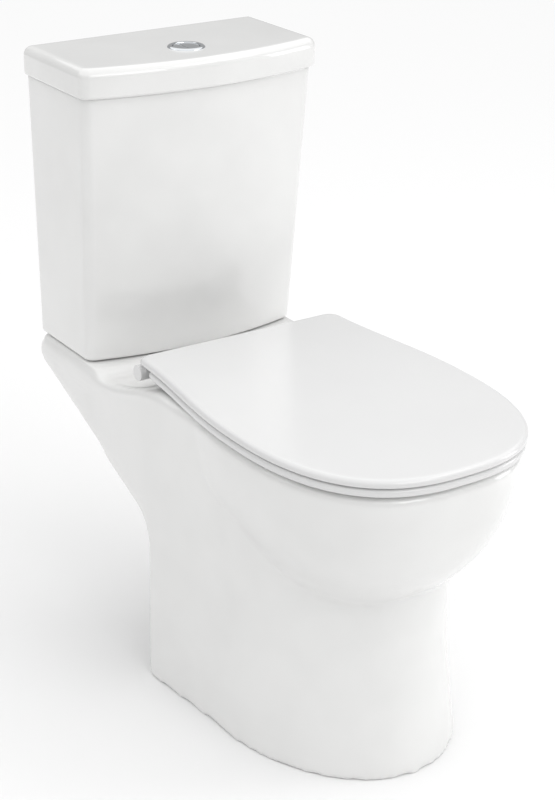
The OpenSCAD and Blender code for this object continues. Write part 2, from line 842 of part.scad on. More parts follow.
module fill_valve_body() {
    color("whitesmoke") at_fill() difference() {
        union() {
            translate([0, 0, supply_bottom]) cylinder(r = supply_r, h = tank_z - supply_bottom);
            translate([0, 0, tank_z - supply_nut_h])
                cylinder(r = shank_r, h = base_z - tank_z + supply_nut_h);
            translate([0, 0, base_z]) cylinder(r = 17, h = 4);
            translate([0, 0, base_z]) cylinder(r = column_r, h = column_top - base_z);
            for (y = [-7, 4]) translate([arm_x - 4, y, column_top - 6])
                cube([8, 3, arm_z - column_top + 10]);
        }
        translate([0, 0, supply_bottom - 1]) cylinder(r = 5, h = column_top - supply_bottom - 12);
        along_y(1.5, -8, 8, arm_x, arm_z);
    }
}

module fill_valve_washer() {
    color("dimgray") at_fill() tube(17, shank_r, tank_floor_z, base_z);
}

module fill_valve_backnut() {
    color("whitesmoke") at_fill() difference() {
        translate([0, 0, tank_z - supply_nut_h]) cylinder(r = 17, h = supply_nut_h, $fn = 6);
        translate([0, 0, tank_z - supply_nut_h - 1]) cylinder(r = shank_r, h = supply_nut_h + 2);
    }
}

module fill_valve_float() {
    color("lightskyblue") at_fill() {
        tube(float_d / 2, column_r + 1, float_top - float_h, float_top);
        translate([link_x, 0, float_top - 5]) cylinder(r = link_r, h = arm_z - 5 - float_top + 5);
    }
}

module fill_valve_arm() {
    color("whitesmoke") at_fill() difference() {
        translate([link_x - 5, -3.5, arm_z - 2.5]) cube([arm_x - link_x + 9, 7, 5]);
        along_y(1.5 + slide_gap, -8, 8, arm_x, arm_z);
    }
}

module fill_valve_pin() {
    color("darkgray") at_fill() along_y(1.5, -7.5, 7.5, arm_x, arm_z);
}

// ---- Seat ----

// Seat outline from the rear edge at y = rear to the front, moved in by d.
seat_corner = 14;
function seat_half_at(y) =
    let (u = min(1, (seat_rear_y - y) / (seat_rear_y - rim_y)))
        (seat_rear_width + (seat_width - seat_rear_width) * pow(sin(90 * max(0, u)), 2)) / 2;
function seat_outline(z, rear, d) = mirrored(concat(
    [for (k = [0:corner_steps]) let (t = 90 * k / corner_steps)
        [seat_half_at(rear) - d - seat_corner * (1 - sin(t)), rear - d - seat_corner * (1 - cos(t))]],
    [for (k = [1:side_steps]) let (y0 = rear - d - seat_corner, y = y0 + (rim_y - y0) * k / side_steps)
        [seat_half_at(y) - d, y]],
    [for (k = [1:front_steps]) let (t = 90 * k / (front_steps + 0.5))
        [(seat_width / 2 - d) * pow(cos(t), 2 / seat_curve),
            rim_y - (seat_widest - d) * pow(sin(t), 2 / seat_curve)]]
), z);

module seat_plate(z0, z1, rear, d, r_low, r_top) {
    loft(concat(
        [for (k = [edge_steps:-1:1]) let (e = round_edge(z0 + r_low, r_low, -1)[k])
            seat_outline(e[0], rear, d + e[1])],
        [for (e = round_edge(z1 - r_top, r_top)) seat_outline(e[0], rear, d + e[1])]
    ));
}

// Opening of the seat ring, with rounded edges.
hole_front = y_front + ring_front_band;
hole_half = seat_width / 2 - ring_band;
hole_y = hole_front + ring_hole_length / 2;
module ring_opening() {
    r = 6;
    half_length = ring_hole_length / 2;
    loft(concat(
        [bowl_ring(ring_z - 1, hole_half + 2, hole_y, half_length + 2, half_length + 2),
            bowl_ring(ring_z + 2, hole_half, hole_y, half_length, half_length)],
        [for (e = round_edge(ring_top - r, r))
            bowl_ring(e[0], hole_half + e[1], hole_y, half_length + e[1], half_length + e[1])],
        [bowl_ring(ring_top + 1, hole_half + r, hole_y, half_length + r, half_length + r)]
    ));
}

// Hinge lug: a barrel on the axis, joined by a block to its plate.
module barrel(x0, w, r) {
    translate([0, axis_y, axis_z]) along_x(r, x0, x0 + w);
}

ring_rear_y = axis_y - barrel_r - 2.5;
module seat_ring() {
    color("snow") difference() {
        union() {
            one_skin() difference() {
                seat_plate(ring_z, ring_top, ring_rear_y, 1, 3, 5);
                ring_opening();
            }
            both_sides() {
                barrel(ring_lug_x, ring_lug_w, barrel_r);
                translate([ring_lug_x, ring_rear_y - 8, axis_z - 6])
                    cube([ring_lug_w, axis_y - ring_rear_y + 8, 13]);
            }
        }
        both_sides() {
            barrel(ring_lug_x - 1, ring_lug_w + 2, hinge_pin_d / 2 + slide_gap);
            barrel(ring_lug_x + 3, ring_lug_w, damper_d / 2);
        }
    }
}

// Middle of the rim's flat band at a distance in front of its widest line.
function band_x(front) = (rim_half * pow(1 - pow(front / rim_front, seat_curve), 1 / seat_curve)
    + mouth_half * pow(1 - pow(front / mouth_length, seat_curve), 1 / seat_curve)) / 2;

buffer_r = 9;
module buffers(z0, z1, r) {
    both_sides() {
        translate([band_x(118), rim_y - 118, z0]) cylinder(r = r, h = z1 - z0);
        translate([(ledge_half + mouth_half) / 2, rim_y + 100, z0]) cylinder(r = r, h = z1 - z0);
    }
}

module ring_buffers() { color("lightgray") buffers(rim_height + rest_gap, ring_z, buffer_r); }
module lid_buffers() { color("lightgray") buffers(ring_top + rest_gap, seat_lid_z, buffer_r - 3); }

module seat_lid() {
    color("snow") difference() {
        union() {
            one_skin() seat_plate(seat_lid_z, seat_lid_top, seat_rear_y, 0, 3, 6);
            both_sides() {
                barrel(lid_lug_x, lid_lug_w, barrel_r);
                translate([lid_lug_x, axis_y - barrel_r, axis_z])
                    cube([lid_lug_w, barrel_r + 4, seat_lid_z + 4 - axis_z]);
            }
        }
        both_sides() {
            barrel(lid_lug_x - 1, lid_lug_w + 2, hinge_pin_d / 2 + slide_gap);
            barrel(lid_lug_x + 3, lid_lug_w, damper_d / 2);
        }
    }
}

module dampers(x0, w) {
    both_sides() difference() {
        barrel(x0, w, damper_d / 2);
        barrel(x0 - 1, w + 2, hinge_pin_d / 2 + slide_gap);
    }
}

module ring_dampers() { color("gray") dampers(ring_lug_x + 3, ring_lug_w - 3.5); }
module lid_dampers() { color("gray") dampers(lid_lug_x + 3, lid_lug_w - 3.5); }

module hinge_posts() {
    color("silver") both_sides() difference() {
        union() {
            barrel(post_x - post_w / 2, post_w, barrel_r);
            translate([post_x, axis_y, pad_z]) cylinder(r = 19, h = 3);
            translate([post_x - post_w / 2, axis_y - barrel_r, pad_z + 2])
                cube([post_w, 2 * barrel_r, axis_z - pad_z - 2]);
        }
        barrel(post_x - post_w / 2 + 6, post_w, hinge_pin_d / 2);
        translate([post_x, axis_y, pad_z - 1]) cylinder(d = seat_bolt_d, h = bolt_top + 1 - pad_z);
    }
}

module hinge_pins() {
    pin_x = post_x - post_w / 2 + 6;
    color("silver") both_sides() barrel(pin_x, cap_x + 3 - pin_x, hinge_pin_d / 2);
}

module hinge_caps() {
    color("silver") both_sides() difference() {
        barrel(cap_x, cap_w, barrel_r);
        barrel(cap_x - 1, 4, hinge_pin_d / 2);
    }
}

bolt_top = axis_z - hinge_pin_d / 2 - 1;
module seat_bolts() {
    color("darkgray") at_seat_bolts() translate([0, 0, pad_under_z - 20])
        cylinder(d = seat_bolt_d, h = bolt_top - pad_under_z + 20);
}

module seat_bolt_sleeves() {
    color("dimgray") at_seat_bolts() {
        tube(seat_bolt_d / 2 + china_gap - rest_gap, seat_bolt_d / 2, pad_under_z, pad_z);
        tube(14, seat_bolt_d / 2, pad_under_z - 2, pad_under_z);
    }
}

module seat_wing_nuts() {
    color("whitesmoke") at_seat_bolts() wing_nut(seat_bolt_d / 2, pad_under_z - 2);
}

// ---- Bidet nozzle ----

flange_r = nozzle_flange_d / 2;
nozzle_nut_y = nozzle_back_y + washer_t;
nozzle_nut_h = 9;
seal_t = 1.5;
module bidet_nozzle() {
    y0 = nozzle_seat_y - seal_t;
    color("silver") difference() {
        union() {
            along_y(flange_r, y0 - 4, y0, z = nozzle_z);
            along_y(8, y0 - 18, y0 - 3, z = nozzle_z);
            translate([0, y0 - 18, nozzle_z]) sphere(r = 8);
            along_y(shank_r, y0 - 1, nozzle_nut_y + nozzle_nut_h, z = nozzle_z);
            along_y(supply_r, y0 - 1, nozzle_back_y + nozzle_tail, z = nozzle_z);
        }
        along_y(4, y0 - 16, nozzle_back_y + nozzle_tail + 1, z = nozzle_z);
        translate([0, y0 - 18, nozzle_z]) rotate([55, 0, 0]) cylinder(r = 1.5, h = 20);
    }
}

module nozzle_seal() {
    color("dimgray") difference() {
        along_y(flange_r, nozzle_seat_y - seal_t, nozzle_seat_y, z = nozzle_z);
        along_y(shank_r, nozzle_seat_y - 5, nozzle_seat_y + 5, z = nozzle_z);
    }
}

module nozzle_washer() {
    color("dimgray") difference() {
        along_y(15, nozzle_back_y, nozzle_back_y + washer_t, z = nozzle_z);
        along_y(shank_r, nozzle_back_y - 5, nozzle_back_y + 9, z = nozzle_z);
    }
}

module nozzle_backnut() {
    color("goldenrod") difference() {
        translate([0, nozzle_nut_y, nozzle_z]) rotate([-90, 0, 0])
            cylinder(r = 16, h = nozzle_nut_h, $fn = 6);
        along_y(shank_r, nozzle_nut_y - 1, nozzle_nut_y + nozzle_nut_h + 1, z = nozzle_z);
    }
}

pan();
cistern_tank();
cistern_lid();
tank_pads();
button_bezel();
button_nut();
full_flush_button();
half_flush_button();
full_flush_rod();
half_flush_rod();
button_springs();
flush_valve_base();
flush_valve_washer();
flush_valve_backnut();
tank_outlet_gasket();
flush_valve_tower();
flush_valve_head();
overflow_tube();
flush_seal();
half_flush_float();
coupling_bolts();
coupling_washers();
coupling_plates();
coupling_wing_nuts();
fill_valve_body();
fill_valve_washer();
fill_valve_backnut();
fill_valve_float();
fill_valve_arm();
fill_valve_pin();
seat_ring();
ring_buffers();
ring_dampers();
seat_lid();
lid_buffers();
lid_dampers();
hinge_posts();
hinge_pins();
hinge_caps();
seat_bolts();
seat_bolt_sleeves();
seat_wing_nuts();
bidet_nozzle();
nozzle_seal();
nozzle_washer();
nozzle_backnut();
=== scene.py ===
# %% [markdown]
# # A close coupled toilet
# The pan, the tank and the tank lid of a toilet like this are vitreous china: clay slip cast in a
# plaster mould, dipped in glaze and fired. Casting and glaze leave no sharp edge and no flat facet,
# so these pieces are made again here as smooth surfaces. The seat and the flush button are made
# again too. The valves, seals, hinges and screws come from the design and only get their finishes.

# %% Load the frame
from math import sin, cos, pi, radians, atan2
import bmesh
import bpy
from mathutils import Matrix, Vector


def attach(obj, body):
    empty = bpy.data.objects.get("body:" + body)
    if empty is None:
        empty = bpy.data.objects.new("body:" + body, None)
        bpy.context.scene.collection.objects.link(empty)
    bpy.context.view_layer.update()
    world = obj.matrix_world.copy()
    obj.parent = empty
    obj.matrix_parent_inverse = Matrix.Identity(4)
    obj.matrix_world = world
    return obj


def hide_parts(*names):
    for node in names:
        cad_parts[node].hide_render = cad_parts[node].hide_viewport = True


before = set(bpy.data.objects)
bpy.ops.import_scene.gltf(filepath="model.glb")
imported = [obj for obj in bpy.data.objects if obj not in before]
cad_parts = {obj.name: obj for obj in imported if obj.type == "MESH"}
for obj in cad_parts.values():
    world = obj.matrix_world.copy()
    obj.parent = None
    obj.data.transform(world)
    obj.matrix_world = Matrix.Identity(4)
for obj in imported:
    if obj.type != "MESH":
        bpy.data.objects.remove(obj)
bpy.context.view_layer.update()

MM = 0.001

# %% [markdown]
# ## Camera, floor and light
# White glaze shows its form only by soft reflections and slow shading. A long lens keeps the
# tank's sides nearly straight, and large soft lights draw long, quiet highlights on the glaze.

# %% Camera
camera_data = bpy.data.cameras.new("camera")
camera = bpy.data.objects.new("camera", camera_data)
bpy.context.collection.objects.link(camera)
camera.location = (-1.180, -1.688, 1.300)
camera.rotation_euler = (radians(90 - 25.1), 0, radians(-31.2))
camera_data.lens = 81.26
camera_data.shift_x = 0.127
camera_data.shift_y = 0.038
bpy.context.scene.camera = camera
print("camera lens", camera_data.lens)

# %% Helpers for objects
def only(piece):
    """Makes the piece the only selected and active object."""
    bpy.ops.object.select_all(action="DESELECT")
    piece.select_set(True)
    bpy.context.view_layer.objects.active = piece


def made(name):
    """Names the object that an operator has just added, and bakes its place into its mesh."""
    piece = bpy.context.object
    piece.name = piece.data.name = name
    bpy.ops.object.transform_apply(location=True, rotation=True, scale=True)
    return piece


def apply_modifier(piece, kind, **settings):
    """Adds a modifier with its settings and applies it at once."""
    only(piece)
    modifier = piece.modifiers.new(kind.lower(), kind)
    for key, value in settings.items():
        setattr(modifier, key, value)
    bpy.ops.object.modifier_apply(modifier=modifier.name)


# %% Floor
bpy.ops.object.select_all(action="DESELECT")
bpy.ops.mesh.primitive_plane_add(size=12)
floor = made("floor")

# %% Soft lights
def soft_light(name, place, aim, size, power):
    """Adds a rectangular soft box, in metres and watts, that faces its aim."""
    data = bpy.data.lights.new(name, "AREA")
    data.shape = "RECTANGLE"
    data.size, data.size_y = size
    data.energy = power
    light = bpy.data.objects.new(name, data)
    light.location = place
    light.rotation_euler = (Vector(aim) - Vector(place)).to_track_quat("-Z", "Y").to_euler()
    bpy.context.collection.objects.link(light)


soft_light("upper_box", (1.10, -0.85, 2.20), (0, 0.1, 0.5), (0.9, 0.5), 3)
soft_light("front_box", (0.20, -2.20, 2.10), (0, 0.1, 0.5), (1.2, 0.9), 9)
soft_light("right_box", (1.90, -1.00, 0.90), (0, -0.1, 0.35), (0.6, 0.9), 6)
soft_light("side_box", (-1.60, 0.90, 2.00), (0, 0, 0.4), (0.9, 0.6), 1)
# The ceiling is a sun with a very wide angle, so it lights like a whole white ceiling.
ceiling = bpy.data.lights.new("ceiling", "SUN")
ceiling.energy = 2.0
ceiling.angle = radians(120)
bpy.context.collection.objects.link(bpy.data.objects.new("ceiling", ceiling))
world = bpy.data.worlds.new("studio")
bpy.context.scene.world = world
world.use_nodes = True
world.node_tree.nodes["Background"].inputs["Color"].default_value = (1, 1, 1, 1)
world.node_tree.nodes["Background"].inputs["Strength"].default_value = 0.46
bpy.context.scene.view_settings.view_transform = "Standard"

# %% [markdown]
# ## Sizes
# The design's sizes, in millimetres. X runs across, Y from the front to the wall and Z up.

# %% Sizes
WALL_Y = 352.5
RIM_Z = 409
RIM_EDGE = 9
CHINA = 11
LEDGE_HALF = 164
LIP_STEP = 3
LIP_Z = 366
LIP_RISE = 7
LIP_FADE_Y = 150
LIP_FADE = 60
DECK_FALL = 34
DECK_T = 14
FALL_ZONE = 70
PLATFORM_Y = 184.5
FALL_Y = 19.5
PLATFORM_Z = 384
PLATFORM_STEP = 4
FOOT_BACK = 60.5
MID_Y = -90.5
RIM_Y = -128.5
RIM_HALF = 167
RIM_FRONT = 220
RIM_REAR = 200
BOWL_DEPTH = 229
MOUTH_HALF = 123
MOUTH_LENGTH = 176
UNDER_RIM = 357
SUMP_Z = 28
CURVE = 2.6
OUTLET_Z = 180
OUTLET_Y = 232.5
FLUSH_Y = 252.5
FLUSH_DROP_R = 27
TRAP_R = 40
TRAP_WALL = 8
SPIGOT_R = 51
SPIGOT_BORE_R = 42
NOZZLE_Z = 308
NOZZLE_FRONT_Y = 29.5
NOZZLE_SEAT_Y = 59.5
NOZZLE_BACK_Y = 78.5
AXIS_Y = 101.5
AXIS_Z = 412
POST_X = 77.5
PAD_Z = 395
PAD_R = 22
BOLT_HOLE_R = 7
SHANK_HOLE_R = 11.5
FILL_X = 108
FILL_Y = 260.5
COUPLING_X = 75
FLOOR_BOLT_X = 127

# %% [markdown]
# ## Lofting by extrusion
# Most outer surfaces here are lofts: one outline changes slowly into the next. In Blender that is
# a circle with its points moved onto the first outline, and then extruded once for each further
# outline. An extrusion copies the number that each point carries, so every new point knows its
# place. The ends are closed by strips across, because a strip stays smooth over a curved deck
# where one big face would not.

# %% Loft
def loft(name, rings, ring_closed=False):
    """Extrudes one outline through all the rings, given as lists of x, y, z in millimetres."""
    count = len(rings[0])
    bpy.ops.object.select_all(action="DESELECT")
    bpy.ops.mesh.primitive_circle_add(vertices=count, radius=0.1)
    piece = made(name)
    bpy.ops.object.mode_set(mode="EDIT")
    bpy.ops.mesh.select_all(action="SELECT")
    mesh = bmesh.from_edit_mesh(piece.data)
    place = mesh.verts.layers.int.new("place")
    mesh.verts.ensure_lookup_table()
    for i, vert in enumerate(mesh.verts):
        vert[place] = i
        vert.co = Vector(rings[0][i]) * MM
    bmesh.update_edit_mesh(piece.data)
    for ring in rings[1:]:
        bpy.ops.mesh.extrude_edges_move()
        mesh = bmesh.from_edit_mesh(piece.data)
        place = mesh.verts.layers.int["place"]
        for vert in mesh.verts:
            if vert.select:
                vert.co = Vector(ring[vert[place]]) * MM
        bmesh.update_edit_mesh(piece.data)
    mesh = bmesh.from_edit_mesh(piece.data)
    place = mesh.verts.layers.int["place"]
    open_edges = [edge for edge in mesh.edges if edge.is_boundary]
    last = {vert[place]: vert for edge in open_edges for vert in edge.verts if vert.select}
    first = {vert[place]: vert for edge in open_edges for vert in edge.verts if not vert.select}
    if ring_closed:
        for i in range(count):
            j = (i + 1) % count
            mesh.faces.new((last[i], last[j], first[j], first[i]))
    else:
        for end in (first, last):
            for i in range(count // 2 - 1):
                mesh.faces.new((end[i], end[i + 1], end[count - 2 - i], end[count - 1 - i]))
    bmesh.update_edit_mesh(piece.data)
    bpy.ops.mesh.select_all(action="SELECT")
    bpy.ops.mesh.normals_make_consistent(inside=False)
    bpy.ops.object.mode_set(mode="OBJECT")
    piece.data.attributes.remove(piece.data.attributes["place"])
    return piece


# %% Outline helpers
def smooth_step(u):
    u = min(1, max(0, u))
    return u * u * (3 - 2 * u)


def mirrored(half, z):
    """Closes a half outline, given from the back to the front, and lifts it to height z."""
    return [(x, y, z) for x, y in half] + [(-x, y, z) for x, y in reversed(half)]


def quarter_round(z, r, up=1, steps=8):
    """Heights and insets of a rounded edge, from the side to the face."""
    turns = [pi / 2 * k / steps for k in range(steps + 1)]
    edge = [(z + up * r * sin(t), r * (1 - cos(t))) for t in turns]
    return edge if up > 0 else edge[::-1]


def through(levels, z):
    """Smooth curve through rows of z and values, which never swings past its rows."""
    for low, high in zip(levels, levels[1:]):
        if z <= high[0]:
            break
    i = levels.index(low)
    before = levels[max(0, i - 1)]
    after = levels[min(len(levels) - 1, i + 2)]
    step = high[0] - low[0]
    u = min(1, max(0, (z - low[0]) / step))
    out = []
    for k in range(1, len(low)):
        slope = (high[k] - low[k]) / step
        s0 = slope if before is low else (low[k] - before[k]) / (low[0] - before[0])
        s1 = slope if after is high else (after[k] - high[k]) / (after[0] - high[0])
        m0 = 0 if s0 * slope <= 0 else 2 * s0 * slope / (s0 + slope)
        m1 = 0 if s1 * slope <= 0 else 2 * s1 * slope / (s1 + slope)
        out.append((2 * u**3 - 3 * u**2 + 1) * low[k] + (u**3 - 2 * u**2 + u) * step * m0
                   + (3 * u**2 - 2 * u**3) * high[k] + (u**3 - u**2) * step * m1)
    return out


# %% Cutting and joining
def combine(piece, tool, way="DIFFERENCE"):
    """Cuts the tool out of the piece, or joins it on with way UNION, and removes the tool."""
    apply_modifier(piece, "BOOLEAN", object=tool, operation=way, solver="MANIFOLD")
    bpy.data.objects.remove(tool)


def rod(name, r, low, high, axis="Z", sides=64):
    """Solid rod of radius r from one end to the other, both in millimetres."""
    low, high = Vector(low) * MM, Vector(high) * MM
    turn = {"X": (0, pi / 2, 0), "Y": (pi / 2, 0, 0), "Z": (0, 0, 0)}[axis]
    bpy.ops.object.select_all(action="DESELECT")
    bpy.ops.mesh.primitive_cylinder_add(vertices=sides, radius=r * MM, depth=(high - low).length,
                                        location=(low + high) / 2, rotation=turn)
    return made(name)


def block(name, low, high):
    low, high = Vector(low) * MM, Vector(high) * MM
    bpy.ops.object.select_all(action="DESELECT")
    bpy.ops.mesh.primitive_cube_add(size=1, location=(low + high) / 2, scale=high - low)
    return made(name)


# %% [markdown]
# ## The pan
# The pan is one casting: a skirted pedestal, a round bowl that bulges over it, a deck that falls
# gently to the tank, and a raised platform for the tank. Each is a loft of its own. They are joined,
# the hollow, the bowl and the trapway are cut out, and a fine remesh with a little smoothing then
# gives every inner and outer corner the soft round that slip casting and glaze leave.

# %% Outline of the pedestal and deck
BODY_LEVELS = [(0, 153, 209), (22, 149, 205), (80, 143, 195.5), (150, 139, 186), (226, 142, 182),
               (286, 150, 182), (350, 158, 182), (366, 160, 182), (409, 161, 182)]


def lowered(z, y):
    """Height z of the body, lowered where the deck falls towards the tank."""
    return (z - DECK_FALL * smooth_step((z - RIM_Z + FALL_ZONE) / FALL_ZONE)
            * smooth_step((y - FALL_Y) / (PLATFORM_Y - FALL_Y)))


def body_ring(z, inset=0, corner=10):
    """Outline of the pedestal and ledge: rear corner, straight side, then the round front."""
    a, b = through(BODY_LEVELS, z)
    set_in = LIP_STEP * (1 - smooth_step((z - LIP_Z + LIP_RISE) / LIP_RISE))
    half = []
    for k in range(9):
        t = pi / 2 * k / 8
        half.append((LEDGE_HALF - set_in - inset - corner * (1 - sin(t)),
                     WALL_Y - inset - corner * (1 - cos(t))))
    back = half[-1][1]
    for k in range(1, 61):
        y = back + (MID_Y - back) * k / 60
        wide = LEDGE_HALF - set_in * smooth_step((y - LIP_FADE_Y) / LIP_FADE) - inset
        u = smooth_step((y - MID_Y) / (FOOT_BACK - MID_Y))
        half.append((a - inset + (wide - a + inset) * u, y))
    for k in range(1, 41):
        t = pi / 2 * k / 40.5
        half.append(((a - inset) * cos(t), MID_Y - (b - inset) * sin(t)))
    return [(x, y, lowered(h, y)) for x, y, h in mirrored(half, z)]


def heights(low, high, step):
    """Even heights from low to high, about one step apart."""
    count = max(1, round((high - low) / step))
    return [low + (high - low) * k / count for k in range(count + 1)]


body_rings = [body_ring(z) for z in heights(0, RIM_Z - RIM_EDGE, 7)[:-1]]
body_rings += [body_ring(z, inset) for z, inset in quarter_round(RIM_Z - RIM_EDGE, RIM_EDGE)]
pan = loft("pan_china", body_rings)
print("pan starts as", len(pan.data.polygons), "faces")

# %% [markdown]
# The pedestal is cut away behind the foot, under the ledge, so that the waste pipe has room. The
# cut's profile is a corner with a large round, swept from side to side.

# %% Space under the ledge
LEDGE_SLOPE = radians(22.5)
UNDER_BACK = 346
CORNER_R = 50
turn_end = pi / 2 + LEDGE_SLOPE
corner_y = FOOT_BACK + CORNER_R * (1 + cos(turn_end))
corner_z = UNDER_BACK - (WALL_Y - corner_y) * sin(LEDGE_SLOPE) / cos(LEDGE_SLOPE)
round_z = corner_z - CORNER_R * sin(turn_end)
profile = [(WALL_Y + 20, -5), (FOOT_BACK, -5)]
for k in range(17):
    t = pi - (pi - turn_end) * k / 16
    profile.append((FOOT_BACK + CORNER_R * (1 + cos(t)), round_z + CORNER_R * sin(t)))
profile += [(WALL_Y, UNDER_BACK), (WALL_Y + 20, UNDER_BACK)]
side_count = len(profile)
bpy.ops.object.select_all(action="DESELECT")
bpy.ops.mesh.primitive_circle_add(vertices=side_count, radius=0.1, fill_type="NGON")
ledge_space = made("ledge_space")
for vert, (y, z) in zip(ledge_space.data.vertices, profile):
    vert.co = Vector((-200, y, z)) * MM
bpy.ops.object.mode_set(mode="EDIT")
bpy.ops.mesh.select_all(action="SELECT")
bpy.ops.mesh.extrude_region_move(TRANSFORM_OT_translate={"value": (0.4, 0, 0)})
bpy.ops.mesh.select_all(action="SELECT")
bpy.ops.mesh.normals_make_consistent(inside=False)
bpy.ops.object.mode_set(mode="OBJECT")
combine(pan, ledge_space)

# %% Hollow of the pedestal
hollow_rings = [body_ring(z, CHINA) for z in heights(0, RIM_Z - DECK_T, 15)]
hollow_rings[0] = [(x, y, -5) for x, y, z in hollow_rings[0]]
combine(pan, loft("hollow", hollow_rings))
print("pan with its hollow:", len(pan.data.polygons), "faces")

# %% [markdown]
# The bowl's outline is a superellipse: rounder than a box, squarer than an ellipse. Its underside
# is half an egg, and its inside runs from the rim down to the sump.

# %% Bowl outside and tank platform
def bowl_ring(z, half, y, front, rear, steps=48):
    """Superellipse with its own length to the front and to the rear."""
    out = []
    for k in range(steps):
        t = pi / 2 - pi * (k + 0.5) / steps
        length = rear if t > 0 else front
        side = 1 if t > 0 else -1
        out.append((half * cos(t) ** (2 / CURVE), y + side * length * abs(sin(t)) ** (2 / CURVE)))
    return mirrored(out, z)


under_rings = []
for k in range(40, 0, -1):
    t = radians(88) * k / 40  # stops just short of the pole, so that the last ring has a size
    under_rings.append(bowl_ring(RIM_Z - RIM_EDGE - (BOWL_DEPTH - RIM_EDGE) * sin(t),
                                 RIM_HALF * cos(t), RIM_Y, RIM_FRONT * cos(t), RIM_REAR * cos(t)))
for z, inset in quarter_round(RIM_Z - RIM_EDGE, RIM_EDGE):
    under_rings.append(bowl_ring(z, RIM_HALF - inset, RIM_Y, RIM_FRONT - inset, RIM_REAR - inset))
combine(pan, loft("bowl_underside", under_rings), "UNION")


def platform_ring(z, inset, back_corner=10, front_corner=20):
    half, rear = LEDGE_HALF - PLATFORM_STEP, WALL_Y - PLATFORM_STEP
    turns = [pi / 2 * k / 8 for k in range(9)]
    back = [(half - inset - back_corner * (1 - sin(t)), rear - inset - back_corner * (1 - cos(t)))
            for t in turns]
    front = [(half - inset - front_corner * (1 - cos(t)),
              PLATFORM_Y + inset + front_corner * (1 - sin(t))) for t in turns]
    return mirrored(back + front, z)


combine(pan, loft("platform", [platform_ring(370, 0)]
                  + [platform_ring(z, i) for z, i in quarter_round(PLATFORM_Z - 4, 4)]), "UNION")
print("pan with bowl and platform:", len(pan.data.polygons), "faces")

# %% Bowl inside, as the wall's outside first
BOWL_LEVELS = [(0, 0.26, 0.23, 55), (0.1, 0.36, 0.31, 55), (0.26, 0.44, 0.39, 50),
               (0.403, 0.58, 0.54, 38), (0.546, 0.79, 0.74, 22), (0.705, 0.94, 0.92, 8),
               (0.863, 1.04, 1.03, 2), (1, 1.082, 1.0625, 0)]


def bowl_inner(name, grow):
    rings = []
    for u in heights(0, 1, 0.04):
        wide, long, back = through(BOWL_LEVELS, u)
        z = SUMP_Z + (UNDER_RIM - SUMP_Z) * u - (grow if u == 0 else 0)
        length = MOUTH_LENGTH * long + grow
        rings.append(bowl_ring(z, MOUTH_HALF * wide + grow, RIM_Y + back, length, length))
    if not grow:
        rings.append(bowl_ring(UNDER_RIM + 3, MOUTH_HALF, RIM_Y, MOUTH_LENGTH, MOUTH_LENGTH))
        for z, inset in quarter_round(RIM_Z - 8, 8):
            rings.append(bowl_ring(z, MOUTH_HALF + inset, RIM_Y, MOUTH_LENGTH + inset,
                                   MOUTH_LENGTH + inset))
        rings.append(bowl_ring(RIM_Z + 5, MOUTH_HALF + 8, RIM_Y, MOUTH_LENGTH + 8, MOUTH_LENGTH + 8))
    return loft(name, rings)


combine(pan, bowl_inner("bowl_wall", CHINA), "UNION")

# %% [markdown]
# The trapway is a pipe of 80 mm bore that dips, climbs over the weir and leaves as a spigot. Its
# route is a short list of points, and a smooth curve through them carries the circle.

# %% Trapway
ROUTE = [(-76.5, 68), (-38.5, 66), (-6.5, 74), (21.5, 98), (43.5, 134), (67.5, 175), (97.5, 192),
         (132.5, 188), (162.5, 180), (178, 180)]


def on_route(u):
    """Point on the curve through the route at parameter u, counted in route points."""
    i = min(len(ROUTE) - 2, int(u))
    t = u - i
    p = [ROUTE[min(len(ROUTE) - 1, max(0, i + k))] for k in (-1, 0, 1, 2)]
    return [0.5 * (2 * b + (c - a) * t + (2 * a - 5 * b + 4 * c - d) * t**2
                   + (3 * b - a - 3 * c + d) * t**3) for a, b, c, d in zip(*p)]


def trap(name, r, sides=48):
    rings = []
    for u in heights(0, len(ROUTE) - 1, 0.25):
        (y, z), (y1, z1), (y0, z0) = on_route(u), on_route(u + 0.01), on_route(max(0, u - 0.01))
        t = atan2(z1 - z0, y1 - y0)
        rings.append([(r * cos(s), y - r * sin(s) * sin(t), z + r * sin(s) * cos(t))
                      for s in [2 * pi * k / sides for k in range(sides)]])
    return loft(name, rings)


combine(pan, trap("trap_wall", TRAP_R + TRAP_WALL), "UNION")
combine(pan, rod("spigot", SPIGOT_R, (0, 162.5, OUTLET_Z), (0, OUTLET_Y, OUTLET_Z), "Y"), "UNION")

# %% Lugs, pads, boss and flush duct
for side in (-1, 1):
    for y, outer in ((26.5, 154), (-59.5, 148)):
        low, high = sorted((side * 112, side * outer))
        combine(pan, block("lug", (low, y - 16, 0), (high, y + 16, 20)), "UNION")
    combine(pan, rod("pad", PAD_R, (side * POST_X, AXIS_Y, 375), (side * POST_X, AXIS_Y, PAD_Z)), "UNION")
combine(pan, rod("boss", 18, (0, 53.5, NOZZLE_Z), (0, NOZZLE_BACK_Y, NOZZLE_Z), "Y"), "UNION")
combine(pan, block("duct_wall", (-39, 56.5, 325), (39, 291.5, 369)), "UNION")
combine(pan, bowl_inner("bowl_space", 0))
combine(pan, trap("trap_bore", TRAP_R))
combine(pan, block("duct", (-28, 45.5, 336), (28, 280.5, 358)))
combine(pan, rod("outlet_bore", SPIGOT_BORE_R, (0, 160.5, OUTLET_Z), (0, OUTLET_Y + 5, OUTLET_Z), "Y"))
combine(pan, rod("well", 50, (0, FLUSH_Y, 368), (0, FLUSH_Y, 420)))
combine(pan, rod("well_drop", FLUSH_DROP_R, (0, FLUSH_Y, 340), (0, FLUSH_Y, 400)))
for side in (-1, 1):
    combine(pan, rod("pad_top", PAD_R + 1, (side * POST_X, AXIS_Y, PAD_Z), (side * POST_X, AXIS_Y, 430)))
print("pan before its soft corners:", len(pan.data.polygons), "faces")

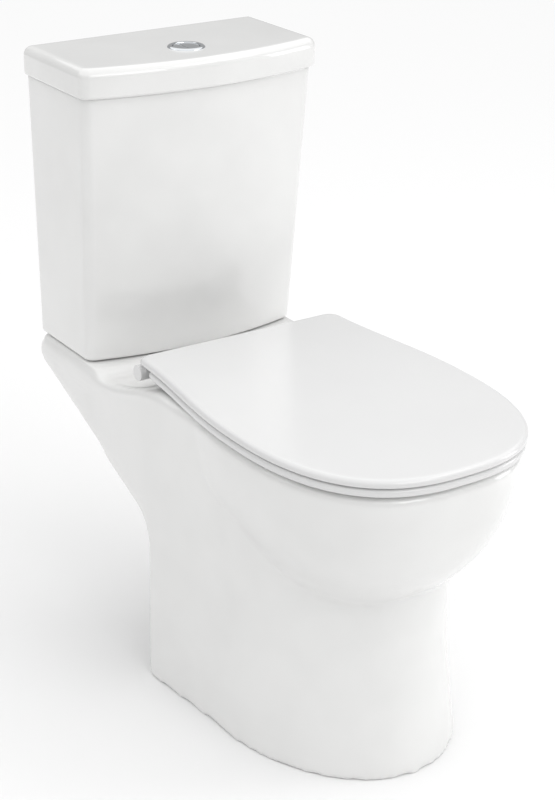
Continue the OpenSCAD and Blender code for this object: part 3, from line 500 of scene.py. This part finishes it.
# %% Soft corners
VOXEL_MM = 4.4
apply_modifier(pan, "REMESH", mode="VOXEL", voxel_size=VOXEL_MM * MM)
apply_modifier(pan, "SMOOTH", factor=0.5, iterations=12)
print("pan after the remesh:", len(pan.data.polygons), "faces")

# %% Holes that stay crisp
combine(pan, rod("nozzle_hole", SHANK_HOLE_R, (0, NOZZLE_FRONT_Y, NOZZLE_Z), (0, 80, NOZZLE_Z), "Y"))
combine(pan, rod("nozzle_seat", 15.5, (0, NOZZLE_FRONT_Y, NOZZLE_Z), (0, NOZZLE_SEAT_Y, NOZZLE_Z), "Y"))
combine(pan, rod("fill_hole", 22.45, (FILL_X, FILL_Y, 345), (FILL_X, FILL_Y, 395)))
for side in (-1, 1):
    combine(pan, rod("seat_bolt_hole", BOLT_HOLE_R, (side * POST_X, AXIS_Y, 360),
                     (side * POST_X, AXIS_Y, 400)))
    combine(pan, rod("coupling_hole", BOLT_HOLE_R, (side * COUPLING_X, FLUSH_Y, 350),
                     (side * COUPLING_X, FLUSH_Y, 400)))
    for y in (26.5, -59.5):
        combine(pan, rod("floor_hole", 5, (side * FLOOR_BOLT_X, y, -5), (side * FLOOR_BOLT_X, y, 30)))
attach(pan, "toilet")
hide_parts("pan")
print("pan:", len(pan.data.polygons), "faces")

# %% [markdown]
# ## The tank
# The tank tapers downwards and its front is bowed. It is one loft that climbs the outside, rolls
# over the rim and goes down inside, so the wall has its real thickness with no cut. Only the
# holes in its floor are cut.

# %% Tank outline
def tank_ring(z, half, back, corner, bow, front_r, back_r):
    """Outline with flat back and sides, rounded corners and a front bowed forward by bow."""
    lean = atan2(2 * bow, half - front_r)
    end = (half - front_r + front_r * sin(lean), corner + front_r * (1 - cos(lean)))
    out = []
    for k in range(9):
        t = pi / 2 * k / 8
        out.append((half - back_r * (1 - sin(t)), back - back_r * (1 - cos(t))))
    for k in range(11):
        t = (pi / 2 - lean) * k / 10
        out.append((half - front_r * (1 - cos(t)), corner + front_r * (1 - sin(t))))
    for k in range(1, 31):
        x = end[0] * (1 - k / 30.5)
        out.append((x, end[1] - bow * (1 - (x / end[0]) ** 2)))
    return mirrored(out, z)


TANK_Z = 385.5
TANK_TOP = 737.5
TANK_WALL = 9
TANK_HALF, TANK_SPREAD = 159, 9
TANK_DEPTH, TANK_LEAN = 138, 20


def tank_at(z, inset=0):
    u = (z - TANK_Z) / (TANK_TOP - TANK_Z)
    return tank_ring(z, TANK_HALF + TANK_SPREAD * u - inset, WALL_Y - inset,
                     WALL_Y - TANK_DEPTH - TANK_LEAN * u + inset, 20, max(4, 16 - inset),
                     max(3, 10 - inset))


# %% Tank
tank_rings = [tank_at(z, i * 0.95) for z, i in quarter_round(TANK_Z + 5, 5, -1)]
tank_rings += [tank_at(z) for z in heights(TANK_Z + 24, TANK_TOP - 2, 18)]
tank_rings += [tank_at(TANK_TOP - 2 + dz, i) for dz, i in quarter_round(0, 2, steps=4)]
tank_rings += [tank_at(TANK_TOP - 2 + dz, TANK_WALL - i) for dz, i in quarter_round(0, 2, steps=4)[::-1]]
tank_rings += [tank_at(z, TANK_WALL) for z in heights(TANK_TOP - 20, TANK_Z + 20, -18)]
tank_rings += [tank_at(z, TANK_WALL + i * 0.95) for z, i in quarter_round(TANK_Z + 18, 8, -1)[::-1]]
tank = loft("tank_china", tank_rings)
combine(tank, rod("flush_hole", 30.5, (0, FLUSH_Y, 380), (0, FLUSH_Y, 400)))
combine(tank, rod("fill_hole", SHANK_HOLE_R, (FILL_X, FILL_Y, 380), (FILL_X, FILL_Y, 400)))
for side in (-1, 1):
    combine(tank, rod("bolt_hole", 5.5, (side * COUPLING_X, FLUSH_Y, 380),
                      (side * COUPLING_X, FLUSH_Y, 400)))
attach(tank, "toilet")
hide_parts("cistern_tank")
print("tank:", len(tank.data.polygons), "faces")

# %% [markdown]
# ## The tank lid
# The lid is a shallow tray turned over: a skirt that overhangs the tank, a locating rib that
# drops inside it, and a top with a generous round edge. The loft starts at the tray's ceiling,
# goes down inside, round the rib and the skirt's foot, and up over the outside.

# %% Tank lid
LID_Z = 737.8
LID_TOP = 774.8
LID_EDGE = 12
LID_HALF = 173
LID_DEPTH = 163
RIB_INSIDE = 29
RIB_LOW = 730
RIB_TIP = 728.8


def lid_ring(z, inset):
    return tank_ring(z, LID_HALF - inset, WALL_Y - inset, WALL_Y - LID_DEPTH + inset, 22,
                     max(4, 16 - inset), max(3, 10 - inset))


def rib_ring(z, inset):
    """Outline of the rib, which keeps its distance to the tank's inner wall."""
    return tank_at(min(z, TANK_TOP), 17 + inset)


lid_rings = [lid_ring(LID_TOP - 9, 36), lid_ring(LID_TOP - 9, 32)]
lid_rings += [lid_ring(z, RIB_INSIDE) for z in (LID_TOP - 12, LID_Z, RIB_LOW)]
lid_rings += [rib_ring(RIB_TIP, 3), rib_ring(RIB_LOW, 1)]
lid_rings += [[(x, y, LID_Z) for x, y, z in rib_ring(TANK_TOP, 0)]]
lid_rings += [lid_ring(z, i) for z, i in quarter_round(LID_Z + 4, 4, -1)]
lid_rings += [lid_ring(z, i) for z, i in quarter_round(LID_TOP - LID_EDGE, LID_EDGE, steps=12)]
lid_rings += [lid_ring(LID_TOP, LID_EDGE + d) for d in (4, 10)]
tank_lid = loft("tank_lid_china", lid_rings)
BUTTON_Y = 235.5
combine(tank_lid, rod("button_hole", 20, (0, BUTTON_Y, 750), (0, BUTTON_Y, 790)))
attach(tank_lid, "tank_lid")
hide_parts("cistern_lid")
print("tank lid:", len(tank_lid.data.polygons), "faces")

# %% [markdown]
# ## Seat ring and seat lid
# Both are slim moulded plates with the same outline: sides that widen forward in a slow S and a
# full round front. The lid is a closed plate. The ring is the same plate lofted once more round
# its opening, so that its section is rounded all the way. Hinge knuckles are joined on.

# %% Seat outline
SEAT_REAR = 107.5
SEAT_HALF = 171
SEAT_REAR_HALF = 150
SEAT_WIDEST = 224


def seat_half_at(y):
    u = min(1, max(0, (SEAT_REAR - y) / (SEAT_REAR - RIM_Y)))
    return SEAT_REAR_HALF + (SEAT_HALF - SEAT_REAR_HALF) * sin(pi / 2 * u) ** 2


def seat_outline(z, rear, inset, corner=14):
    out = []
    for k in range(9):
        t = pi / 2 * k / 8
        out.append((seat_half_at(rear) - inset - corner * (1 - sin(t)),
                    rear - inset - corner * (1 - cos(t))))
    back = rear - inset - corner
    for k in range(1, 25):
        y = back + (RIM_Y - back) * k / 24
        out.append((seat_half_at(y) - inset, y))
    for k in range(1, 49):
        t = pi / 2 * k / 48.5
        out.append(((SEAT_HALF - inset) * cos(t) ** (2 / CURVE),
                    RIM_Y - (SEAT_WIDEST - inset) * sin(t) ** (2 / CURVE)))
    return mirrored(out, z)


def knuckle(piece, x, width, low, high):
    """Joins a hinge knuckle and its arm on each side, and cuts its bore and its damper's seat."""
    for side in (-1, 1):
        ends = sorted((side * low[0], side * high[0]))
        combine(piece, block("arm", (ends[0], low[1], low[2]), (ends[1], high[1], high[2])), "UNION")
        for r, start, end, way in ((10, x, x + width, "UNION"), (4.3, x - 1, x + width + 1, "DIFFERENCE"),
                                   (6.5, x + 3, x + width + 1, "DIFFERENCE")):
            combine(piece, rod("knuckle", r, (side * start, AXIS_Y, AXIS_Z),
                               (side * end, AXIS_Y, AXIS_Z), "X"), way)


# %% Seat lid
LID_LOW = 423
LID_HIGH = 432.5
lid_plate = [seat_outline(LID_LOW, SEAT_REAR, i) for i in (12, 7)]
lid_plate += [seat_outline(z, SEAT_REAR, i) for z, i in quarter_round(LID_LOW + 3, 3, -1, 5)]
lid_plate += [seat_outline(z, SEAT_REAR, i) for z, i in quarter_round(LID_HIGH - 6, 6, steps=10)]
lid_plate += [seat_outline(LID_HIGH, SEAT_REAR, i) for i in (10, 15)]
seat_lid = loft("seat_lid_moulding", lid_plate)
knuckle(seat_lid, 117.5, 28, (117.5, 91.5, AXIS_Z), (145.5, 105.5, LID_LOW + 4))
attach(seat_lid, "lid")
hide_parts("seat_lid")
print("seat lid:", len(seat_lid.data.polygons), "faces")

# %% Seat ring
RING_REAR = 89
RING_LOW = 412
RING_HIGH = 421.5
HOLE_HALF = 111
HOLE_LENGTH = 136
HOLE_Y = -134.5


def hole_ring(z, grow):
    """Opening of the ring, with one point for each point of the outline, by direction."""
    out = []
    for x, y, _ in seat_outline(z, RING_REAR, 1)[:81]:
        wide, long = HOLE_HALF + grow, HOLE_LENGTH + grow
        t = atan2((y - HOLE_Y) / long, x / wide)
        reach = (abs(cos(t)) ** CURVE + abs(sin(t)) ** CURVE) ** (-1 / CURVE)
        out.append((max(0.5, wide * reach * cos(t)), HOLE_Y + long * reach * sin(t)))
    return mirrored(out, z)


ring_rings = [seat_outline(z, RING_REAR, 1 + i) for z, i in quarter_round(RING_LOW + 3, 3, -1, 5)]
ring_rings += [seat_outline(z, RING_REAR, 1 + i) for z, i in quarter_round(RING_HIGH - 5, 5, steps=8)]
ring_rings += [seat_outline(RING_HIGH, RING_REAR, 10), hole_ring(RING_HIGH, 10)]
ring_rings += [hole_ring(z, i) for z, i in quarter_round(RING_HIGH - 6, 6)[::-1]]
ring_rings += [hole_ring(z, i) for z, i in quarter_round(RING_LOW + 2, 2, -1, 4)[::-1]]
ring_rings += [hole_ring(RING_LOW, 6), seat_outline(RING_LOW, RING_REAR, 10)]
seat_ring = loft("seat_ring_moulding", ring_rings, ring_closed=True)
knuckle(seat_ring, 89.5, 26, (89.5, 81, AXIS_Z - 6), (115.5, AXIS_Y, AXIS_Z + 7))
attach(seat_ring, "ring")
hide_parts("seat_ring")
print("seat ring:", len(seat_ring.data.polygons), "faces")

# %% [markdown]
# ## The flush button
# A chromed bezel clamps in the lid, and two chromed keys share its round opening. The bezel is a
# turned shape, so it is lofted from circles. The keys are one domed disc, sawn apart by a slot.

# %% Bezel
def circle(r, z, sides=96):
    turns = [2 * pi * (k + 0.5) / sides for k in range(sides)]
    return [(r * sin(t), BUTTON_Y + r * cos(t), z) for t in turns]


bezel_profile = [(17.3, 748), (17.3, 774), (17.6, 776.2), (18.1, 776.9)]
bezel_profile += [(20.5, 777.15), (22.3, 776.7), (23.5, 775.9), (24, 775.1), (23.9, 774.8)]
bezel_profile += [(19.3, 774.8), (19.3, 746.8), (3, 746.8), (3, 748)]
bezel = loft("bezel_chrome", [circle(r, z) for r, z in bezel_profile], ring_closed=True)
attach(bezel, "tank_lid")
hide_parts("button_bezel")
print("bezel:", len(bezel.data.polygons), "faces")

# %% Keys
KEY_R = 17


def key(name, low_x, high_x):
    """One key of the button: the domed disc between two slot faces."""
    dome = [(KEY_R - i, z) for z, i in quarter_round(775.2, 0.8, steps=4)]
    dome += [(r, 775.75 + 0.45 * (1 - (r / 16.2) ** 2)) for r in (14, 11, 8, 5, 2)]
    disc = loft(name, [circle(KEY_R, 764.3)] + [circle(r, z) for r, z in dome])
    combine(disc, block("slot_face", (low_x, BUTTON_Y - 30, 700), (high_x, BUTTON_Y + 30, 800)),
            "INTERSECT")
    apply_modifier(disc, "BEVEL", width=0.4 * MM, segments=2, limit_method="ANGLE",
                   angle_limit=radians(60))
    return disc


full_key = key("full_key_chrome", -3.6, 30)
half_key = key("half_key_chrome", -30, -4.4)
for piece, body, node in ((full_key, "full_button", "full_flush_button"),
                          (half_key, "half_button", "half_flush_button")):
    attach(piece, body)
    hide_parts(node)
print("keys:", len(full_key.data.polygons) + len(half_key.data.polygons), "faces")

# %% Smooth shading
for piece in (tank, tank_lid, seat_lid, seat_ring, bezel, full_key, half_key, pan):
    only(piece)
    bpy.ops.object.shade_smooth_by_angle(angle=radians(42))
print("shaded")

# %% [markdown]
# ## Finishes
# One function turns an sRGB hex value into the linear colour that a shader wants, one adds a node
# with its settings and links, and one starts a material with its constants on the shader itself.

# %% Finish helpers
def linear(code):
    """Linear colour of an sRGB hex value."""
    parts = [int(code[i:i + 2], 16) / 255 for i in (1, 3, 5)]
    return [p / 12.92 if p <= 0.04045 else ((p + 0.055) / 1.055) ** 2.4 for p in parts] + [1]


def add(tree, kind, inputs=None, **settings):
    """Adds a node. An input takes a value or a link from another node's output."""
    node = tree.nodes.new(kind)
    for key, value in settings.items():
        setattr(node, key, value)
    for key, value in (inputs or {}).items():
        if isinstance(value, bpy.types.NodeSocket):
            tree.links.new(value, node.inputs[key])
        else:
            node.inputs[key].default_value = value
    return node


def finish(name, **constants):
    """Starts a material and returns it with its tree, its shader and the object coordinates."""
    material = bpy.data.materials.new(name)
    material.use_nodes = True
    tree = material.node_tree
    shader = tree.nodes["Principled BSDF"]
    for key, value in constants.items():
        shader.inputs[key.replace("_", " ")].default_value = value
    place = add(tree, "ShaderNodeTexCoord").outputs["Object"]
    return material, tree, shader, place


def dress(material, *names):
    """Puts the material on pieces, given as objects or as node names."""
    for name in names:
        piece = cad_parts[name] if isinstance(name, str) else name
        piece.data.materials.clear()
        piece.data.materials.append(material)


# %% [markdown]
# ### Vitreous china under clear glaze
# A fired glaze is a sheet of glass on white clay. The clay scatters light evenly and the glass
# mirrors the lights sharply, with a slow ripple of some ten millimetres where the glaze ran
# before it froze. Fine ripples would look like plastic, so the bump is wide and very shallow.

# %% Vitreous china
china, tree, shader, place = finish("glazed_vitreous_china", Roughness=0.3, IOR=1.52, Coat_Weight=1.0,
                                    Coat_Roughness=0.03, Coat_IOR=1.5)
drift = add(tree, "ShaderNodeTexNoise", {"Vector": place, "Scale": 1000 / 90, "Detail": 2})
ramp = add(tree, "ShaderNodeValToRGB", {"Fac": drift.outputs["Fac"]})
ramp.color_ramp.elements[0].position, ramp.color_ramp.elements[1].position = 0.3, 0.7
ramp.color_ramp.elements[0].color = linear("#E4E4E3")
ramp.color_ramp.elements[1].color = linear("#E9E9E8")
tree.links.new(ramp.outputs["Color"], shader.inputs["Base Color"])
ripple = add(tree, "ShaderNodeTexNoise", {"Vector": place, "Scale": 1000 / 12, "Detail": 1})
bump = add(tree, "ShaderNodeBump", {"Height": ripple.outputs["Fac"], "Strength": 0.5,
                                    "Distance": 0.05 * MM})
for socket in ("Normal", "Coat Normal"):
    tree.links.new(bump.outputs["Normal"], shader.inputs[socket])
dress(china, pan, tank, tank_lid)

# %% [markdown]
# ### Moulded seat plastic
# A seat like this is pressed from urea resin, which is hard, white and glossy, yet a little less
# glossy than glaze, because the polished steel mould leaves a faint skin texture.

# %% Seat plastic
plastic, tree, shader, place = finish("pressed_urea_resin", IOR=1.5, Coat_Weight=0.35,
                                      Coat_Roughness=0.12)
skin = add(tree, "ShaderNodeTexNoise", {"Vector": place, "Scale": 1000 / 2.5, "Detail": 3})
rough = add(tree, "ShaderNodeMapRange", {"Value": skin.outputs["Fac"], "To Min": 0.2, "To Max": 0.28})
tree.links.new(rough.outputs["Result"], shader.inputs["Roughness"])
tone = add(tree, "ShaderNodeTexNoise", {"Vector": place, "Scale": 1000 / 140})
ramp = add(tree, "ShaderNodeValToRGB", {"Fac": tone.outputs["Fac"]})
ramp.color_ramp.elements[0].color = linear("#DADADA")
ramp.color_ramp.elements[1].color = linear("#DFDFDF")
tree.links.new(ramp.outputs["Color"], shader.inputs["Base Color"])
bump = add(tree, "ShaderNodeBump", {"Height": skin.outputs["Fac"], "Strength": 0.3,
                                    "Distance": 0.02 * MM})
tree.links.new(bump.outputs["Normal"], shader.inputs["Normal"])
dress(plastic, seat_lid, seat_ring, "hinge_caps")

# %% [markdown]
# ### Chrome plating
# Decorative chrome on plastic and brass mirrors everything, with the faint circling haze of
# wiping cloths. That haze is a stretched noise in the roughness, too weak to colour it.

# %% Chrome
chrome, tree, shader, place = finish("chrome_plating", Base_Color=linear("#D4D7DA"), Metallic=1.0)
wiped = add(tree, "ShaderNodeMapping", {"Vector": place, "Scale": (1000 / 14, 1000 / 1.2, 1000 / 14)})
haze = add(tree, "ShaderNodeTexNoise", {"Vector": wiped.outputs["Vector"], "Scale": 1, "Detail": 4})
rough = add(tree, "ShaderNodeMapRange", {"Value": haze.outputs["Fac"], "To Min": 0.04, "To Max": 0.14})
tree.links.new(rough.outputs["Result"], shader.inputs["Roughness"])
dress(chrome, bezel, full_key, half_key, "hinge_posts", "bidet_nozzle")

# %% [markdown]
# ### Moulded nylon and polypropylene
# The valves inside the tank are moulded from white nylon and blue polypropylene. Both are waxy,
# let a little light in, and carry the fine spark-eroded texture of their moulds.

# %% Nylon and polypropylene
def moulded(name, colour, grain_mm, low, high):
    material, tree, shader, place = finish(name, Base_Color=linear(colour), IOR=1.5,
                                           Subsurface_Weight=0.05, Subsurface_Scale=0.002)
    grain = add(tree, "ShaderNodeTexNoise", {"Vector": place, "Scale": 1000 / grain_mm, "Detail": 4})
    rough = add(tree, "ShaderNodeMapRange", {"Value": grain.outputs["Fac"], "To Min": low,
                                             "To Max": high})
    bump = add(tree, "ShaderNodeBump", {"Height": grain.outputs["Fac"], "Strength": 0.4,
                                        "Distance": 0.04 * MM})
    tree.links.new(rough.outputs["Result"], shader.inputs["Roughness"])
    tree.links.new(bump.outputs["Normal"], shader.inputs["Normal"])
    return material


nylon = moulded("moulded_white_nylon", "#E3E2DC", 0.9, 0.35, 0.5)
dress(nylon, "button_nut", "full_flush_rod", "half_flush_rod", "flush_valve_base", "flush_valve_backnut",
      "flush_valve_head", "overflow_tube", "half_flush_float", "fill_valve_body", "fill_valve_backnut",
      "fill_valve_arm", "seat_wing_nuts")
dress(moulded("moulded_blue_polypropylene", "#8DB4CC", 1.1, 0.38, 0.55), "flush_valve_tower",
      "fill_valve_float")
dress(moulded("moulded_grey_acetal", "#74777B", 0.8, 0.3, 0.42), "ring_dampers", "lid_dampers")

# %% [markdown]
# ### Rubber and silicone
# Washers are black moulded rubber with a dull, slightly bloomed surface. The flush seal is red
# silicone, and the seat's buffers are a soft pale rubber.

# %% Rubber
def rubber(name, dark, light, low, high):
    material, tree, shader, place = finish(name, IOR=1.52)
    bloom = add(tree, "ShaderNodeTexNoise", {"Vector": place, "Scale": 1000 / 6, "Detail": 6})
    ramp = add(tree, "ShaderNodeValToRGB", {"Fac": bloom.outputs["Fac"]})
    ramp.color_ramp.elements[0].color = linear(dark)
    ramp.color_ramp.elements[1].color = linear(light)
    rough = add(tree, "ShaderNodeMapRange", {"Value": bloom.outputs["Fac"], "To Min": low,
                                             "To Max": high})
    bump = add(tree, "ShaderNodeBump", {"Height": bloom.outputs["Fac"], "Strength": 0.3,
                                        "Distance": 0.06 * MM})
    tree.links.new(ramp.outputs["Color"], shader.inputs["Base Color"])
    tree.links.new(rough.outputs["Result"], shader.inputs["Roughness"])
    tree.links.new(bump.outputs["Normal"], shader.inputs["Normal"])
    return material


dress(rubber("moulded_black_rubber", "#17181A", "#242528", 0.6, 0.8), "tank_pads", "flush_valve_washer",
      "tank_outlet_gasket", "coupling_washers", "fill_valve_washer", "seat_bolt_sleeves", "nozzle_seal",
      "nozzle_washer")
dress(rubber("red_silicone", "#8C231C", "#9B2B22", 0.4, 0.55), "flush_seal")
dress(rubber("pale_buffer_rubber", "#C9C9C6", "#D6D6D3", 0.5, 0.65), "ring_buffers", "lid_buffers")

# %% [markdown]
# ### Zinc-plated steel and brass
# Bolts, plates and springs are steel with a bright zinc coat, whose crystals give a patchy
# gloss. The nozzle's nut is turned brass, with the fine circles of the lathe round its axis.

# %% Metals
zinc, tree, shader, place = finish("zinc_plated_steel", Base_Color=linear("#B4B8BD"), Metallic=1.0)
patch = add(tree, "ShaderNodeTexVoronoi", {"Vector": place, "Scale": 1000 / 3})
rough = add(tree, "ShaderNodeMapRange", {"Value": patch.outputs["Distance"], "To Min": 0.26,
                                         "To Max": 0.42})
tree.links.new(rough.outputs["Result"], shader.inputs["Roughness"])
dress(zinc, "button_springs", "coupling_bolts", "coupling_plates", "coupling_wing_nuts",
      "fill_valve_pin", "hinge_pins", "seat_bolts")
brass, tree, shader, place = finish("turned_brass", Base_Color=linear("#C8A55E"), Metallic=1.0,
                                    Roughness=0.28)
centred = add(tree, "ShaderNodeMapping", {"Vector": place, "Location": (0, 0, -NOZZLE_Z * MM)})
lathe = add(tree, "ShaderNodeTexWave", {"Vector": centred.outputs["Vector"], "Scale": 1000 / 1.5},
            wave_type="RINGS", rings_direction="Y")
bump = add(tree, "ShaderNodeBump", {"Height": lathe.outputs["Fac"], "Strength": 0.4,
                                    "Distance": 0.03 * MM})
tree.links.new(bump.outputs["Normal"], shader.inputs["Normal"])
dress(brass, "nozzle_backnut")

# %% Floor finish
# Painted board, nearly white and dull, so that it takes a soft shadow and mirrors nothing.
matte = finish("pale_studio_floor", Base_Color=linear("#F0F0F0"), Roughness=0.9,
               Specular_IOR_Level=0.1)[0]
dress(matte, floor)
print("materials:", len(bpy.data.materials))
